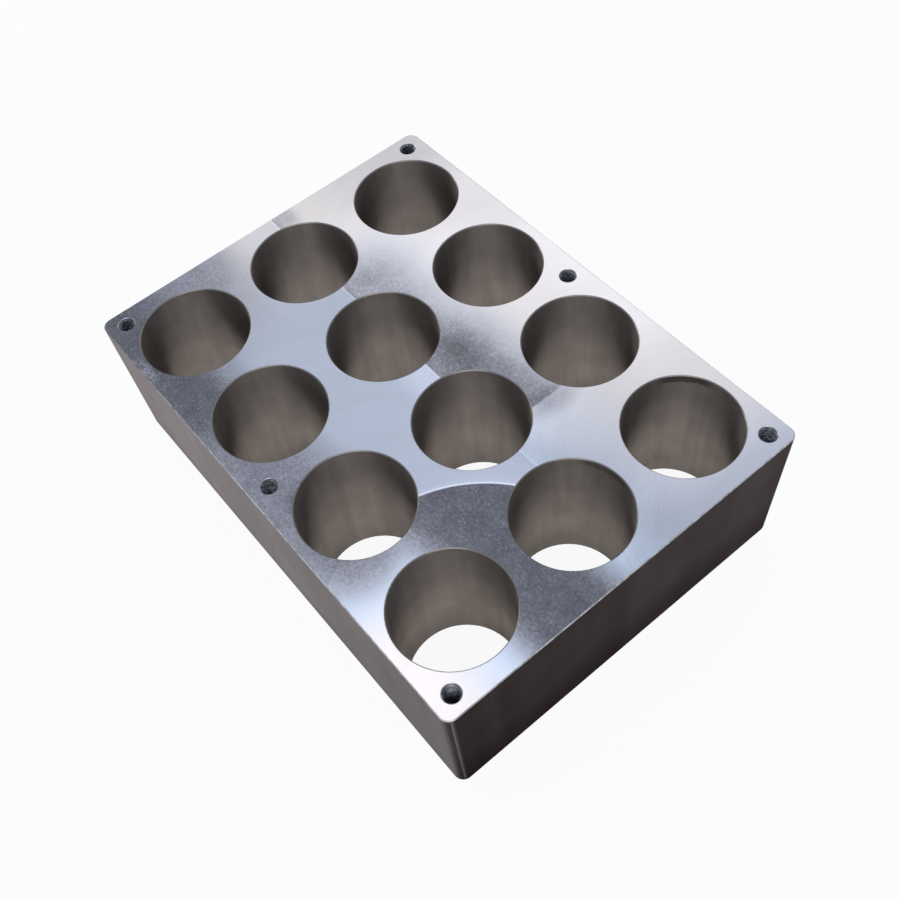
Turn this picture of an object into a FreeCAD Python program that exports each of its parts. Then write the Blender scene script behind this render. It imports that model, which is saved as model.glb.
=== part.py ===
"""Aluminium block, machined all over from one billet.

Round bores on a square grid pass right through it, and blind tapped holes
stand round the rim of its top face. It is one solid.

Millimetres. X runs along the long sides, Y along the short sides and Z up.
The origin is the centre of the underside.
"""
import FreeCAD, Part
import math
import os

# Through bores, on a square grid centred on the block
BORE_DIAMETER = 33.0
BORE_WEB = 7.0          # thinnest metal between two neighbouring bores
BORES_ALONG = 4         # along X
BORES_ACROSS = 3        # along Y

# Block
END_WALL = 6.0          # thinnest metal between the outer bores and a short side
SIDE_WALL = 3.5         # thinnest metal between the outer bores and a long side
HEIGHT = 48.0
CORNER_RADIUS = 3.0     # the four upright edges
EDGE_BREAK = 0.3        # 45-degree deburring chamfer round both faces and every bore

# Blind tapped holes in the top face: one at each corner, one midway along each
# long side. Their threaded length is cut at the thread's major diameter.
THREAD_DIAMETER = 5.0
THREAD_PITCH = 0.8
THREAD_DEPTH = 12.0
DRILL_RUN_OUT = 3.5     # tapping drill at full width beyond the threaded length
DRILL_POINT_ANGLE = 118.0
MOUTH_BREAK = 0.2       # 45-degree countersink at each tapped mouth
TAP_FROM_END = 5.5      # centre of a corner hole to the short side
TAP_FROM_SIDE = 6.0     # centre of every tapped hole to its long side

BORE_RADIUS = BORE_DIAMETER / 2
BORE_SPACING = BORE_DIAMETER + BORE_WEB
LENGTH = (BORES_ALONG - 1) * BORE_SPACING + BORE_DIAMETER + 2 * END_WALL
WIDTH = (BORES_ACROSS - 1) * BORE_SPACING + BORE_DIAMETER + 2 * SIDE_WALL
THREAD_RADIUS = THREAD_DIAMETER / 2
DRILL_RADIUS = (THREAD_DIAMETER - THREAD_PITCH) / 2
LEVEL_TOLERANCE = 1e-6


def centred_row(count, spacing):
    """Places of `count` equally spaced features, centred on zero."""
    return [(index - (count - 1) / 2) * spacing for index in range(count)]


def billet():
    """Rectangular block with rounded upright edges and deburred face outlines."""
    corner = FreeCAD.Vector(-LENGTH / 2, -WIDTH / 2, 0)
    box = Part.makeBox(LENGTH, WIDTH, HEIGHT, corner)
    upright = [edge for edge in box.Edges if edge.BoundBox.ZLength > HEIGHT / 2]
    rounded = box.makeFillet(CORNER_RADIUS, upright)
    outlines = [edge for edge in rounded.Edges if edge.BoundBox.ZLength < LEVEL_TOLERANCE]
    return rounded.makeChamfer(EDGE_BREAK, outlines)


def turned_cutter(profile, x, y):
    """Cutter turned about the upright axis through x, y.

    The profile lists (radius, height) corners. Its last side closes it.
    """
    corners = [FreeCAD.Vector(radius, 0, height) for radius, height in profile]
    section = Part.Face(Part.makePolygon(corners + corners[:1]))
    cutter = section.revolve(FreeCAD.Vector(0, 0, 0), FreeCAD.Vector(0, 0, 1), 360)
    cutter.translate(FreeCAD.Vector(x, y, 0))
    return cutter


def through_bore(x, y):
    """Cutter for one bore. Its 45-degree mouths run on past both faces."""
    mouth_radius = BORE_RADIUS + 2 * EDGE_BREAK
    profile = [
        (0, -EDGE_BREAK),
        (mouth_radius, -EDGE_BREAK),
        (BORE_RADIUS, EDGE_BREAK),
        (BORE_RADIUS, HEIGHT - EDGE_BREAK),
        (mouth_radius, HEIGHT + EDGE_BREAK),
        (0, HEIGHT + EDGE_BREAK),
    ]
    return turned_cutter(profile, x, y)


def tapped_hole(x, y):
    """Cutter for one blind hole: mouth, threaded length, drill and drill point."""
    mouth_radius = THREAD_RADIUS + 2 * MOUTH_BREAK
    thread_end = HEIGHT - THREAD_DEPTH
    drill_end = thread_end - DRILL_RUN_OUT
    point_height = DRILL_RADIUS / math.tan(math.radians(DRILL_POINT_ANGLE / 2))
    profile = [
        (0, HEIGHT + MOUTH_BREAK),
        (mouth_radius, HEIGHT + MOUTH_BREAK),
        (THREAD_RADIUS, HEIGHT - MOUTH_BREAK),
        (THREAD_RADIUS, thread_end),
        (DRILL_RADIUS, thread_end),
        (DRILL_RADIUS, drill_end),
        (0, drill_end - point_height),
    ]
    return turned_cutter(profile, x, y)


def bored_block():
    """The billet with its grid of bores and its rim of tapped holes."""
    cutters = []
    for x in centred_row(BORES_ALONG, BORE_SPACING):
        for y in centred_row(BORES_ACROSS, BORE_SPACING):
            cutters.append(through_bore(x, y))
    for x in centred_row(3, LENGTH / 2 - TAP_FROM_END):
        for y in centred_row(2, WIDTH - 2 * TAP_FROM_SIDE):
            cutters.append(tapped_hole(x, y))
    return billet().cut(cutters)


os.makedirs("parts", exist_ok=True)
bored_block().exportStep("parts/bored_block.step")
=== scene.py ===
import math

import bpy
from mathutils import Matrix, Vector


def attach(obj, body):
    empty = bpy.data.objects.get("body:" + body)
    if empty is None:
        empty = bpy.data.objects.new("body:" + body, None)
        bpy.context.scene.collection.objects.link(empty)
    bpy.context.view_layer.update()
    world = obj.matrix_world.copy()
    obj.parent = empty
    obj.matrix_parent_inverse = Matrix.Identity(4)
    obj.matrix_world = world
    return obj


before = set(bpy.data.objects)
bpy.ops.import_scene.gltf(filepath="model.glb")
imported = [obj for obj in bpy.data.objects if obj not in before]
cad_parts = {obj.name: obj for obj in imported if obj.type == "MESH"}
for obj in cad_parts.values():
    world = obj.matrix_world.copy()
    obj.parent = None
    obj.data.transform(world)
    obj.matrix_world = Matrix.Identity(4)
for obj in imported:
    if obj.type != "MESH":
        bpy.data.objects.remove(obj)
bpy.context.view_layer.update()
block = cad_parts["bored_block"]

# sizes of the block in millimetres, the same as in the part's source
MM = 0.001
TOP = 48.0
SPACING = 40.0
BORE_R = 16.5
TAP_X, TAP_Y = 77.0, 54.0
THREAD_R = 2.5
THREAD_CREST_R = 2.067
THREAD_PITCH = 0.8
THREAD_DEPTH = 12.0
MOUTH_R = 2.7

# the face mill that finished the top: its radius, where it stopped, and the edge of its last pass
CUTTER_R = 40.0
CUTTER_X, CUTTER_Y = 68.0, -37.5
PASS_Y = CUTTER_Y + CUTTER_R
RELIEF = 0.01

# the thread's ridge: steps in a turn, its offsets up and down at root and crest, and its overlap with the wall
THREAD_STEPS = 36
ROOT_HALF, CREST_HALF = 0.35, 0.10
OVERLAP = 0.02


# ---------------------------------------------------------------- node helpers
class Graph:
    """The nodes of one material, with short calls for the sums they do."""

    def __init__(self, tree):
        self.tree = tree
        tree.nodes.clear()

    def node(self, kind, **settings):
        made = self.tree.nodes.new(kind)
        for key, value in settings.items():
            setattr(made, key, value)
        return made

    def put(self, socket, value):
        if isinstance(value, bpy.types.NodeSocket):
            self.tree.links.new(value, socket)
        elif isinstance(value, tuple) and len(socket.default_value) == 4:
            socket.default_value = (*value, 1.0)
        else:
            socket.default_value = value

    def math(self, operation, *values):
        made = self.node("ShaderNodeMath", operation=operation)
        for socket, value in zip(made.inputs, values):
            self.put(socket, value)
        return made.outputs[0]

    def add(self, a, b):
        return self.math("ADD", a, b)

    def sub(self, a, b):
        return self.math("SUBTRACT", a, b)

    def mul(self, a, *more):
        for b in more:
            a = self.math("MULTIPLY", a, b)
        return a

    def most(self, a, *more):
        for b in more:
            a = self.math("MAXIMUM", a, b)
        return a

    def no(self, a):
        return self.sub(1.0, a)

    def size(self, a):
        return self.math("ABSOLUTE", a)

    def length(self, a, b):
        return self.math("SQRT", self.add(self.mul(a, a), self.mul(b, b)))

    def ramp(self, value, low, high, to_low=0.0, to_high=1.0):
        """Eases from to_low where value is low, to to_high where it is high."""
        made = self.node("ShaderNodeMapRange", interpolation_type="SMOOTHSTEP")
        for socket, number in zip(made.inputs, (value, low, high, to_low, to_high)):
            self.put(socket, number)
        return made.outputs[0]

    def mix(self, factor, a, b):
        made = self.node("ShaderNodeMix", data_type="FLOAT")
        self.put(made.inputs[0], factor)
        self.put(made.inputs[2], a)
        self.put(made.inputs[3], b)
        return made.outputs[0]

    def blend(self, factor, a, b, how="MIX"):
        made = self.node("ShaderNodeMix", data_type="RGBA", blend_type=how)
        self.put(made.inputs[0], factor)
        self.put(made.inputs[6], a)
        self.put(made.inputs[7], b)
        return made.outputs[2]

    def times(self, colour, level):
        return self.blend(1.0, colour, self.vector(level, level, level), "MULTIPLY")

    def vector(self, x, y, z=0.0):
        made = self.node("ShaderNodeCombineXYZ")
        for socket, value in zip(made.inputs, (x, y, z)):
            self.put(socket, value)
        return made.outputs[0]

    def split(self, vector):
        made = self.node("ShaderNodeSeparateXYZ")
        self.put(made.inputs[0], vector)
        return made.outputs

    def noise(self, vector, scale, detail=2.0, roughness=0.5):
        made = self.node("ShaderNodeTexNoise")
        settings = {"Vector": vector, "Scale": scale, "Detail": detail, "Roughness": roughness}
        for name, value in settings.items():
            self.put(made.inputs[name], value)
        return made.outputs["Fac"]

    def lines(self, along, scale, detail=1.0, roughness=0.5):
        """Noise that changes in one direction only."""
        made = self.node("ShaderNodeTexNoise", noise_dimensions="1D")
        settings = {"W": along, "Scale": scale, "Detail": detail, "Roughness": roughness}
        for name, value in settings.items():
            self.put(made.inputs[name], value)
        return made.outputs["Fac"]

    def blob(self, x, y, middle, half, soft=1.0):
        """1 in the middle of an ellipse and 0 at its rim."""
        u = self.mul(self.sub(x, middle[0]), 1.0 / half[0])
        v = self.mul(self.sub(y, middle[1]), 1.0 / half[1])
        return self.ramp(self.length(u, v), 1.0, 1.0 - soft)

    def scratches(self, x, y, angle, length, width, few):
        """Short straight scratches at one angle; `few` nearer to 1 leaves fewer."""
        c, s = math.cos(math.radians(angle)), math.sin(math.radians(angle))
        run = self.mul(self.add(self.mul(x, c), self.mul(y, s)), 1.0 / length)
        over = self.mul(self.sub(self.mul(y, c), self.mul(x, s)), 1.0 / width)
        return self.ramp(self.noise(self.vector(run, over, angle), 1.0, 1.0), few, few + 0.08)


# ---------------------------------------------------------------- the aluminium
class Milled(Graph):
    """The finish of the block, with painted light and shade in its colours; every place in it is in
    millimetres, in the block's own frame.
    """

    def __init__(self, tree):
        super().__init__(tree)
        scaled = self.node("ShaderNodeVectorMath", operation="SCALE")
        self.put(scaled.inputs[0], self.node("ShaderNodeTexCoord").outputs["Object"])
        scaled.inputs["Scale"].default_value = 1.0 / MM
        self.place = scaled.outputs[0]
        self.x, self.y, self.z = self.split(self.place)
        self.nx, self.ny, self.nz = self.split(self.node("ShaderNodeNewGeometry").outputs["True Normal"])
        self.find_surfaces()
        self.find_passes()

    def find_surfaces(self):
        """Masks of the top, the underside, the bores, the tapped holes and the sides."""
        x, y, z, nz = self.x, self.y, self.z, self.nz
        self.top = self.mul(self.ramp(nz, 0.90, 0.95), self.ramp(z, TOP - 0.2, TOP - 0.1))
        self.under = self.ramp(nz, -0.90, -0.95)
        upright = self.ramp(self.size(nz), 0.25, 0.15)
        from_bore = self.length(
            self.sub(self.math("MODULO", self.add(x, 4 * SPACING), SPACING), SPACING / 2),
            self.sub(self.math("MODULO", self.add(y, 4.5 * SPACING), SPACING), SPACING / 2),
        )
        self.bore = self.mul(upright, self.ramp(from_bore, BORE_R + 0.6, BORE_R + 0.3))
        self.rim = self.ramp(from_bore, BORE_R + 1.2, BORE_R + 0.9)
        across = self.sub(self.size(self.sub(self.size(x), TAP_X / 2)), TAP_X / 2)
        from_tap = self.length(self.most(self.size(across), 0.0), self.sub(self.size(y), TAP_Y))
        self.hole = self.mul(self.no(self.top), self.ramp(from_tap, MOUTH_R + 0.5, MOUTH_R + 0.3))
        self.side = self.mul(upright, self.no(self.bore), self.no(self.hole))

    def find_passes(self):
        """The top was cut in two passes; the last one lies below PASS_Y and ends where the cutter stopped."""
        x, y = self.x, self.y
        self.from_last = self.sub(y, CUTTER_Y)
        self.from_stop = self.length(self.sub(x, CUTTER_X), self.from_last)
        self.once = self.ramp(self.from_stop, CUTTER_R + 0.15, CUTTER_R - 0.15)
        before_stop = self.ramp(x, CUTTER_X + 0.1, CUTTER_X - 0.1)
        self.last = self.mul(self.ramp(y, PASS_Y + 0.1, PASS_Y - 0.1), self.most(self.once, before_stop))
        self.first = self.no(self.last)
        self.from_first = self.sub(y, CUTTER_Y + 2 * CUTTER_R)
        self.sweep_last = self.sweep(self.from_last)
        self.sweep_first = self.sweep(self.from_first)
        trailing = self.mix(self.last, self.add(x, self.sweep_first), self.add(x, self.sweep_last))
        feed = self.mix(self.once, trailing, self.sub(x, self.sweep_last))
        self.grooves = self.lines(feed, 1.6, 2.0, 0.7)
        self.bands = self.lines(feed, 0.12, 2.0)

    def sweep(self, offset):
        """How far the cutter's arc lies ahead of its centre, at this distance from the middle of a pass."""
        return self.math("SQRT", self.most(self.sub(CUTTER_R**2, self.mul(offset, offset)), 1.0))

    def finish_and_shade_zones(self):
        """The darker parts of the top, each with how bright it is beside the clean metal: partly a dulled
        finish and partly painted reflection shade.
        """
        x, y, last, first = self.x, self.y, self.last, self.first
        up = self.sub(y, self.mul(x, 0.05))
        low = self.sub(self.mul(x, 0.09), y)
        stopped = self.ramp(x, 29.0, 28.0)
        # inside the last cut's arc: a finish of its own, darkened further with painted reflection shade
        in_arc = self.mul(
            self.once,
            self.ramp(up, -46.0, -30.0),
            self.most(self.ramp(y, 1.0, -12.0), self.ramp(x, 78.0, 72.0)),
        )
        strip = self.mul(last, self.ramp(low, 29.5, 45.0), self.ramp(x, 52.0, 22.0))
        strip_level = self.ramp(x, -34.0, -14.0, 0.24, 0.42)
        foot = self.mul(last, self.most(
            self.blob(x, y, (35.0, -49.0), (14.0, 15.0), 0.8),
            self.blob(x, y, (10.0, -50.0), (8.0, 7.0), 0.9),
        ))
        # painted reflection shade over the left of the last pass
        painted_fall_shade = self.mul(
            last, self.ramp(y, -4.0, -26.0), self.ramp(x, -34.0, -78.0), self.ramp(low, 45.0, 35.0))
        # painted reflection shade towards the far side and the far corner of the first pass
        far_side_shade = self.mul(self.ramp(x, 20.0, 34.0), self.ramp(x, 74.0, 52.0), self.ramp(y, 52.0, 30.0))
        far_corner_shade = self.mul(self.ramp(x, 66.0, 80.0), self.ramp(y, -8.0, 4.0))
        return (
            (in_arc, 0.25),
            (strip, strip_level),
            (self.mul(first, stopped, self.ramp(y, 37.0, 8.0), self.ramp(x, -70.0, -38.0)), 0.44),
            (self.mul(first, self.blob(x, y, (2.0, 12.5), (19.0, 11.0), 0.9)), 0.50),
            (self.mul(first, stopped, self.blob(x, y, (20.0, 19.0), (16.0, 7.0), 0.7)), 0.85),
            (self.mul(first, self.ramp(y, 12.0, 7.0), self.ramp(x, -72.0, -78.0)), 0.75),
            (foot, 0.62),
            (self.blob(x, y, (84.0, -2.0), (12.0, 12.0), 0.9), 0.82),
            (painted_fall_shade, 0.46),
            (self.mul(first, stopped, self.ramp(y, 46.0, 22.0), self.ramp(x, -24.0, 2.0)), 0.84),
            # painted reflection shade along the left end of the first pass
            (self.mul(first, self.ramp(x, -50.0, -73.0)), 0.80),
            (self.mul(first, self.most(far_side_shade, far_corner_shade)), 0.86),
            (self.mul(first, self.blob(x, y, (30.0, 20.0), (7.0, 13.0), 0.9)), 0.68),
        )

    def marks(self, grain):
        """Small marks that lighten the top: struck edges, and a painted glint along the line where the cutter
        stopped and along the pass line, with a painted sheen beside the stop line.
        """
        x, y, last = self.x, self.y, self.last
        struck = self.most(
            self.blob(self.add(x, self.mul(y, -0.3)), y, (3.2, 12.2), (1.8, 0.35)),
            self.blob(x, y, (66.5, 3.0), (0.4, 1.2)),
            self.blob(x, y, (-57.0, -58.5), (8.0, 2.5)),
        )
        off_stop = self.size(self.sub(self.from_stop, CUTTER_R + 0.25))
        stop_line = self.mul(
            last, self.ramp(off_stop, 0.5, 0.15), self.ramp(x, 62.0, 50.0), self.ramp(y, -32.0, -27.0))
        painted_stop_sheen = self.mul(
            last,
            self.no(self.once),
            self.ramp(self.from_stop, CUTTER_R + 3.0, CUTTER_R, 0.0, 0.12),
            self.ramp(x, 62.0, 50.0),
            self.ramp(y, -30.0, -24.0),
        )
        off_pass = self.size(self.sub(y, PASS_Y - 0.2))
        pass_line = self.mul(self.ramp(off_pass, 0.3, 0.1), self.ramp(x, 32.0, 24.0, 0.0, 0.5))
        struck = self.mul(struck, self.ramp(grain, 0.35, 0.6), 0.3)
        return struck, self.add(self.mul(self.most(stop_line, pass_line), 0.35), painted_stop_sheen)

    def top_tone(self):
        """How bright the top is, as a share, with painted shade and highlights in it, and how far it is dulled
        or shaded.
        """
        x, y, place = self.x, self.y, self.place
        tone = self.mul(*(self.mix(mask, 1.0, level) for mask, level in self.finish_and_shade_zones()))
        # this follows the darker parts, partly a dulled finish and partly painted shade; they are also
        # mottled, tinted and roughened
        dull_and_shade = self.ramp(tone, 0.85, 0.35)
        cloud = self.ramp(self.noise(place, 0.20, 3.0, 0.62), 0.30, 0.70, 0.90, 1.10)
        grain = self.noise(place, 1.1, 3.0, 0.75)
        mottle = self.mul(cloud, self.ramp(grain, 0.30, 0.70, 0.80, 1.20))
        tone = self.mul(tone, self.mix(dull_and_shade, 1.0, mottle))
        # painted highlights: the back of the top and the join of the two passes painted brighter, standing in
        # for reflected light
        painted_back_highlight = self.mul(
            self.ramp(y, 42.0, 58.0), self.ramp(x, -34.0, -14.0), self.ramp(x, 44.0, 26.0))
        painted_join_highlight = self.mul(
            self.last, self.ramp(y, -10.0, -1.0), self.ramp(x, -32.0, -10.0), self.ramp(x, 32.0, 14.0))
        tone = self.mul(
            tone,
            self.mix(painted_back_highlight, 1.0, 1.13),
            self.mix(painted_join_highlight, 1.0, 1.28),
            self.ramp(self.bands, 0.2, 0.8, 0.98, 1.02),
            self.ramp(self.grooves, 0.2, 0.8, 0.99, 1.01),
        )
        # real scratches, painted lighter in the darker parts as a painted glint
        scuffs_and_glints = self.most(
            self.scratches(x, y, 12.0, 1.4, 0.22, 0.66),
            self.scratches(x, y, 71.0, 1.1, 0.20, 0.67),
            self.scratches(x, y, 128.0, 1.5, 0.22, 0.66),
            self.ramp(self.noise(place, 2.0, 2.0, 0.6), 0.61, 0.71),
        )
        patch = self.ramp(self.noise(place, 0.28, 2.0), 0.42, 0.62, 0.25, 1.0)
        tone = self.add(tone, self.mul(scuffs_and_glints, patch, dull_and_shade, 0.38))
        struck, cutter_line_glints = self.marks(grain)
        tone = self.add(tone, struck)
        # fine marks painted darker in the brighter parts, a painted shade on real marks
        dark_specks_and_shade = self.ramp(self.noise(place, 0.9, 1.0), 0.74, 0.79)
        tone = self.mul(tone, self.mix(self.mul(dark_specks_and_shade, self.no(dull_and_shade)), 1.0, 0.86))
        return self.add(tone, cutter_line_glints), dull_and_shade

    def top_colour(self, tone, dull_and_shade):
        x, y = self.x, self.y
        # the tints are painted reflection colours: warm, cool and a paler corner where the surroundings show
        # in the metal, a darker blue-grey over the last pass outside the arc, and a cooler grey over the
        # darker parts
        warm = self.most(
            self.mul(self.ramp(y, 14.0, 42.0), self.ramp(x, 84.0, 58.0)), self.ramp(x, -36.0, -72.0))
        cool = self.mul(self.ramp(y, 16.0, 2.0), self.ramp(x, 20.0, 34.0))
        blue = self.mul(
            self.last, self.no(self.once), self.ramp(x, -100.0, -34.0), self.ramp(y, -62.0, -48.0))
        corner = self.mul(self.once, self.ramp(y, -37.0, -56.0), self.ramp(x, 42.0, 60.0))
        tint = self.blend(warm, (0.79, 0.81, 0.89), (0.88, 0.835, 0.82))
        tint = self.blend(cool, tint, (0.70, 0.77, 0.90))
        tint = self.blend(blue, tint, (0.445, 0.48, 0.565))
        tint = self.blend(corner, tint, (0.97, 0.89, 0.86))
        tint = self.blend(dull_and_shade, tint, (0.745, 0.745, 0.845))
        return self.times(tint, tone)

    def side_colour(self):
        """The sides, cut with the flank of an end mill, painted darker than the top as shade; the end facing
        +X is painted darker still.
        """
        level = self.mul(
            self.ramp(self.lines(self.along, 0.10, 3.0), 0.2, 0.8, 0.94, 1.06),
            self.ramp(self.noise(self.place, 0.06, 3.0), 0.3, 0.7, 0.95, 1.05),
        )
        painted_shade_end = self.ramp(self.nx, 0.10, 0.85)
        # a painted reflection streak down the rounded upright corners
        streak = self.ramp(self.size(self.sub(self.size(self.nx), 0.88)), 0.10, 0.0)
        # painted shade: darker towards the foot of each side, most at the +X end
        foot = self.mix(
            painted_shade_end, self.ramp(self.z, 0.0, 10.0, 0.88, 1.0), self.ramp(self.z, 0.0, 26.0, 0.78, 1.0))
        skin = self.blend(painted_shade_end, (0.385, 0.350, 0.355), (0.128, 0.112, 0.112))
        skin = self.blend(streak, skin, (0.30, 0.28, 0.28))
        return self.times(skin, self.mul(level, foot))

    def bore_colour(self):
        """The bored walls, painted darker than the top as shade in the bores: faint upright streaks, painted
        shade towards both ends, two painted shadows under the rim.
        """
        x, y, z = self.x, self.y, self.z
        drawn = self.vector(self.mul(x, 0.35), self.mul(y, 0.35), self.mul(z, 0.02))
        level = self.mul(
            self.ramp(self.noise(drawn, 1.0, 3.0), 0.3, 0.7, 0.93, 1.07),
            self.ramp(self.noise(self.place, 0.11, 3.0), 0.3, 0.7, 0.92, 1.08),
        )
        # painted shade: darker towards the bottom and towards the rim
        level = self.mul(level, self.ramp(z, 0.0, 18.0, 0.66, 1.0), self.ramp(z, 22.0, 47.0, 1.0, 0.76))
        # two painted shadows just under the rims of two bores, with a ragged edge
        rim_shadow = self.most(
            self.blob(x, y, (49.0, 52.5), (9.5, 9.5), 0.5),
            self.mul(self.blob(x, y, (56.0, 15.5), (10.0, 8.0), 0.5), 0.6),
        )
        ragged = self.add(z, self.mul(self.noise(self.place, 0.20, 3.0, 0.62), 3.0))
        rim_shadowed = self.mix(self.mul(rim_shadow, self.ramp(ragged, 46.2, 47.2)), 1.0, 0.42)
        return self.times((0.355, 0.312, 0.283), self.mul(level, rim_shadowed))

    def edge_colour(self):
        # a painted glint on the outer edge breaks, uneven and fading towards -X; the bore rims are painted
        # darker, a painted shade that dims their glint
        painted_edge_glint = self.ramp(self.noise(self.place, 0.7, 2.0), 0.35, 0.65, 0.42, 0.68)
        painted_edge_glint = self.mul(painted_edge_glint, self.ramp(self.x, -80.0, 0.0, 0.45, 1.0))
        return self.blend(self.rim, self.vector(painted_edge_glint, painted_edge_glint, painted_edge_glint), (0.30, 0.285, 0.27))

    def hole_colour(self):
        # painted shade: the inside of a tapped hole nearly black, the mouth's cone lighter
        mouth = self.ramp(self.z, TOP - 0.30, TOP - 0.22)
        return self.blend(mouth, (0.04, 0.04, 0.045), (0.55, 0.55, 0.58))

    @property
    def along(self):
        """The distance along a side."""
        return self.add(self.mul(self.x, self.size(self.ny)), self.mul(self.y, self.size(self.nx)))

    def spread(self):
        """Fine tool marks spread a reflection across themselves: along the arcs, the sides and the bores."""
        trailing = self.mix(self.last, self.mul(self.sweep_first, -1.0), self.mul(self.sweep_last, -1.0))
        swing = self.mix(self.once, trailing, self.sweep_last)
        lever = self.mix(self.last, self.from_first, self.from_last)
        return self.vector(
            self.add(self.mul(self.top, swing, 1.0 / CUTTER_R), self.mul(self.side, self.ny)),
            self.sub(self.mul(self.top, lever, 1.0 / CUTTER_R), self.mul(self.side, self.nx)),
            self.add(self.bore, 0.001),
        )

    def relief(self):
        """The height of the tool marks, in shares of RELIEF."""
        height = self.mul(self.top, self.mul(self.grooves, 0.25))
        height = self.add(height, self.mul(self.side, self.lines(self.along, 1.2, 2.0), 0.8))
        return self.add(height, self.mul(self.bore, self.lines(self.z, 3.0, 1.0), 0.15))


def aluminium():
    material = bpy.data.materials.new("milled_aluminium")
    material.use_nodes = True
    g = Milled(material.node_tree)
    out = g.node("ShaderNodeOutputMaterial")
    shader = g.node("ShaderNodeBsdfPrincipled")
    g.put(out.inputs["Surface"], shader.outputs[0])
    shader.inputs["Metallic"].default_value = 1.0
    shader.inputs["Specular Tint"].default_value = (0.25, 0.25, 0.25, 1.0)

    tone, dull_and_shade = g.top_tone()
    colour = g.blend(g.under, g.edge_colour(), (0.62, 0.62, 0.64))
    colour = g.blend(g.top, colour, g.top_colour(tone, dull_and_shade))
    colour = g.blend(g.side, colour, g.side_colour())
    colour = g.blend(g.bore, colour, g.bore_colour())
    colour = g.blend(g.hole, colour, g.hole_colour())
    g.put(shader.inputs["Base Color"], colour)

    top_rough = g.add(g.mix(dull_and_shade, 0.26, 0.33), g.mul(g.sub(g.grooves, 0.5), 0.06))
    rough = g.mix(g.top, 0.35, top_rough)
    rough = g.mix(g.side, rough, 0.45)
    rough = g.mix(g.bore, rough, 0.42)
    g.put(shader.inputs["Roughness"], rough)
    shader.inputs["Anisotropic"].default_value = 0.9
    g.put(shader.inputs["Tangent"], g.spread())

    bump = g.node("ShaderNodeBump")
    bump.inputs["Strength"].default_value = 0.5
    bump.inputs["Distance"].default_value = RELIEF * MM
    g.put(bump.inputs["Height"], g.relief())
    g.put(shader.inputs["Normal"], bump.outputs[0])
    return material


def shaded_thread():
    material = bpy.data.materials.new("cut_thread")
    material.use_nodes = True
    g = Graph(material.node_tree)
    out = g.node("ShaderNodeOutputMaterial")
    shader = g.node("ShaderNodeBsdfPrincipled")
    g.put(out.inputs["Surface"], shader.outputs[0])
    shader.inputs["Metallic"].default_value = 1.0
    place = g.node("ShaderNodeTexCoord").outputs["Object"]
    patches = g.noise(place, 900.0, 3.0, 0.6)
    # the thread is painted dark as shade inside the tapped hole, in random lighter patches
    colour = g.blend(g.ramp(patches, 0.3, 0.7), (0.07, 0.07, 0.075), (0.30, 0.30, 0.32))
    g.put(shader.inputs["Base Color"], colour)
    g.put(shader.inputs["Roughness"], g.ramp(patches, 0.3, 0.7, 0.42, 0.28))
    return material


def thread(name, at_x, at_y, material):
    """The ridge of a right-hand thread, from the mouth's cone down to the end of the tapped depth."""
    foot = TOP - THREAD_DEPTH
    steps = int((THREAD_DEPTH + THREAD_PITCH) / THREAD_PITCH * THREAD_STEPS)
    section = (
        (THREAD_R + OVERLAP, -ROOT_HALF),
        (THREAD_CREST_R, -CREST_HALF),
        (THREAD_CREST_R, CREST_HALF),
        (THREAD_R + OVERLAP, ROOT_HALF),
    )
    verts, faces = [], []
    for i in range(steps + 1):
        angle = 2.0 * math.pi * i / THREAD_STEPS
        level = foot - THREAD_PITCH / 2 + THREAD_PITCH * i / THREAD_STEPS
        for radius, offset in section:
            h = min(max(level + offset, foot + 0.01), TOP - 0.2)
            r = max(radius, MOUTH_R + OVERLAP - (TOP - h))
            verts.append(Vector((at_x + r * math.cos(angle), at_y + r * math.sin(angle), h)) * MM)
    for i in range(steps):
        a, b = 4 * i, 4 * (i + 1)
        faces.extend((a + k, b + k, b + k + 1, a + k + 1) for k in range(3))
    last = 4 * steps
    faces.append((0, 1, 2, 3))
    faces.append((last + 3, last + 2, last + 1, last))
    mesh = bpy.data.meshes.new(name)
    mesh.from_pydata(verts, [], faces)
    mesh.validate()
    mesh.materials.append(material)
    made = bpy.data.objects.new(name, mesh)
    bpy.context.scene.collection.objects.link(made)
    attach(made, "root")


metal = aluminium()
for material_slot in block.material_slots:
    material_slot.material = metal
cut = shaded_thread()
for column, tap_x in enumerate((-TAP_X, 0.0, TAP_X), 1):
    thread(f"thread_x{column}_front", tap_x, -TAP_Y, cut)
    thread(f"thread_x{column}_back", tap_x, TAP_Y, cut)


# ---------------------------------------------------------------- floor, air and lamps
def floor():
    mesh = bpy.data.meshes.new("floor")
    mesh.from_pydata([(-4, -4, 0), (4, -4, 0), (4, 4, 0), (-4, 4, 0)], [], [(0, 1, 2, 3)])
    made = bpy.data.objects.new("floor", mesh)
    made.location = (0.0, 0.0, -0.1 * MM)
    bpy.context.scene.collection.objects.link(made)
    material = bpy.data.materials.new("pale_floor")
    material.use_nodes = True
    g = Graph(material.node_tree)
    out = g.node("ShaderNodeOutputMaterial")
    matt = g.node("ShaderNodeBsdfDiffuse")
    g.put(matt.inputs["Color"], (0.93, 0.92, 0.89))
    glow = g.node("ShaderNodeEmission")
    glow.inputs["Strength"].default_value = 1.0
    ray = g.node("ShaderNodeLightPath").outputs
    seen = g.most(ray["Is Camera Ray"], ray["Is Glossy Ray"], ray["Is Transmission Ray"])
    mixed = g.node("ShaderNodeMixShader")
    g.put(mixed.inputs[0], g.mul(seen, 0.93))
    g.put(mixed.inputs[1], matt.outputs[0])
    g.put(mixed.inputs[2], glow.outputs[0])
    g.put(out.inputs["Surface"], mixed.outputs[0])
    mesh.materials.append(material)


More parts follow.
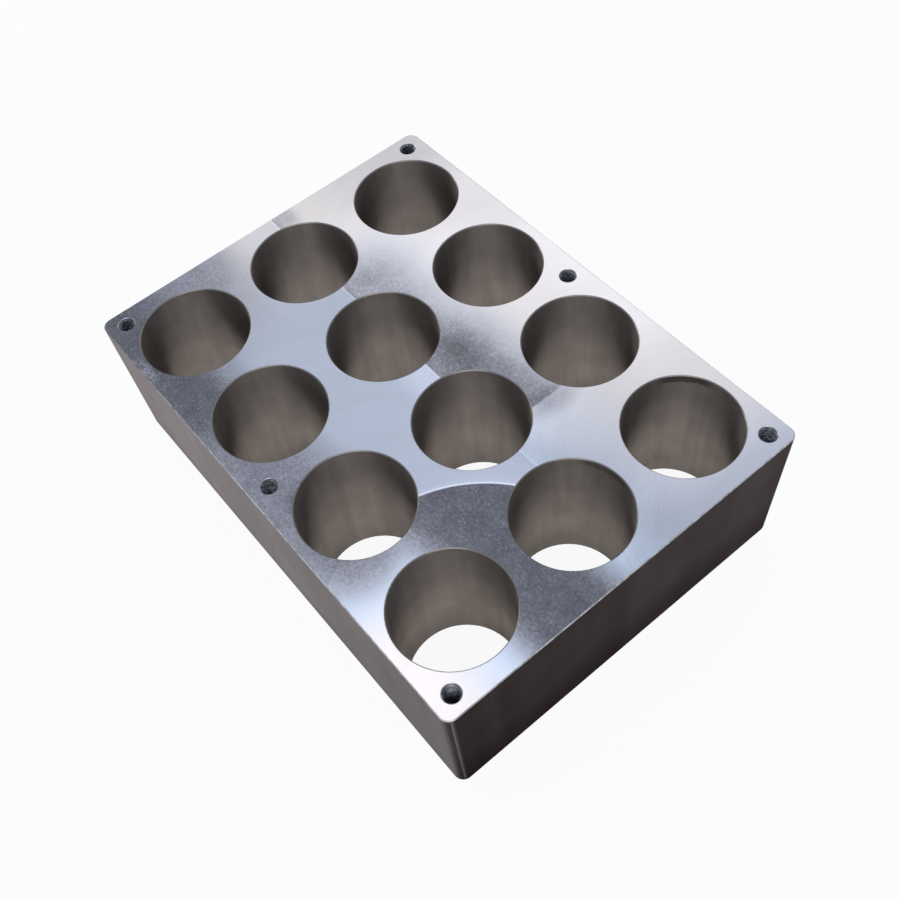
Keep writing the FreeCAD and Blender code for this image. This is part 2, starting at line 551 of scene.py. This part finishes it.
def air():
    """Pale at the horizon and a cooler grey overhead."""
    world = bpy.data.worlds.new("studio")
    bpy.context.scene.world = world
    world.use_nodes = True
    g = Graph(world.node_tree)
    out = g.node("ShaderNodeOutputWorld")
    glow = g.node("ShaderNodeBackground")
    way = g.split(g.node("ShaderNodeTexCoord").outputs["Generated"])
    sky = g.blend(g.ramp(way[2], 0.0, 0.5), (0.95, 0.95, 0.95), (0.46, 0.51, 0.60))
    g.put(glow.inputs["Color"], sky)
    g.put(out.inputs["Surface"], glow.outputs[0])


def softbox(name, place, wide, high, glow, roll=0.0, colour=(1.0, 1.0, 1.0)):
    """A flat lamp that faces the block; its face is as bright as `glow`."""
    light = bpy.data.lights.new(name, "AREA")
    light.shape = "RECTANGLE"
    light.size = wide
    light.size_y = high
    light.energy = glow * math.pi * wide * high
    light.color = colour
    made = bpy.data.objects.new(name, light)
    ahead = Vector((0.0, 0.0, 0.03)) - Vector(place)
    turned = ahead.to_track_quat("-Z", "Y").to_matrix() @ Matrix.Rotation(math.radians(roll), 3, "Z")
    made.matrix_world = Matrix.Translation(place) @ turned.to_4x4()
    made.visible_camera = False
    bpy.context.scene.collection.objects.link(made)


floor()
air()
softbox("softbox_back", (-0.665, 0.688, 0.987), 1.20, 0.52, 0.80, 14.0, (1.0, 0.95, 0.90))
softbox("softbox_top", (-0.32, 0.05, 1.25), 0.60, 0.42, 0.95)
softbox("softbox_front", (0.95, -0.75, 0.95), 1.2, 1.2, 0.95)
softbox("softbox_left", (-1.05, -0.32, 0.52), 0.35, 0.30, 4.0)


# ---------------------------------------------------------------- camera
def camera():
    """Stands over the corner at +X and -Y, and looks down on the block."""
    eye = Vector((155.16, -93.28, 279.46)) * MM
    aim = Vector((22.58, -12.39, 24.0)) * MM
    roll = math.radians(-9.371)
    ahead = (aim - eye).normalized()
    right = ahead.cross(Vector((0.0, 0.0, 1.0))).normalized()
    up = right.cross(ahead)
    c, s = math.cos(roll), math.sin(roll)
    right, up = right * c + up * s, up * c - right * s
    lens = bpy.data.cameras.new("camera")
    lens.sensor_width = 36.0
    lens.lens = 41.51
    lens.shift_y = 0.051
    lens.clip_start = 0.01
    lens.clip_end = 20.0
    made = bpy.data.objects.new("camera", lens)
    made.matrix_world = Matrix.Translation(eye) @ Matrix((right, up, -ahead)).transposed().to_4x4()
    bpy.context.scene.collection.objects.link(made)
    bpy.context.scene.camera = made


camera()
bpy.context.scene.view_settings.view_transform = "Standard"
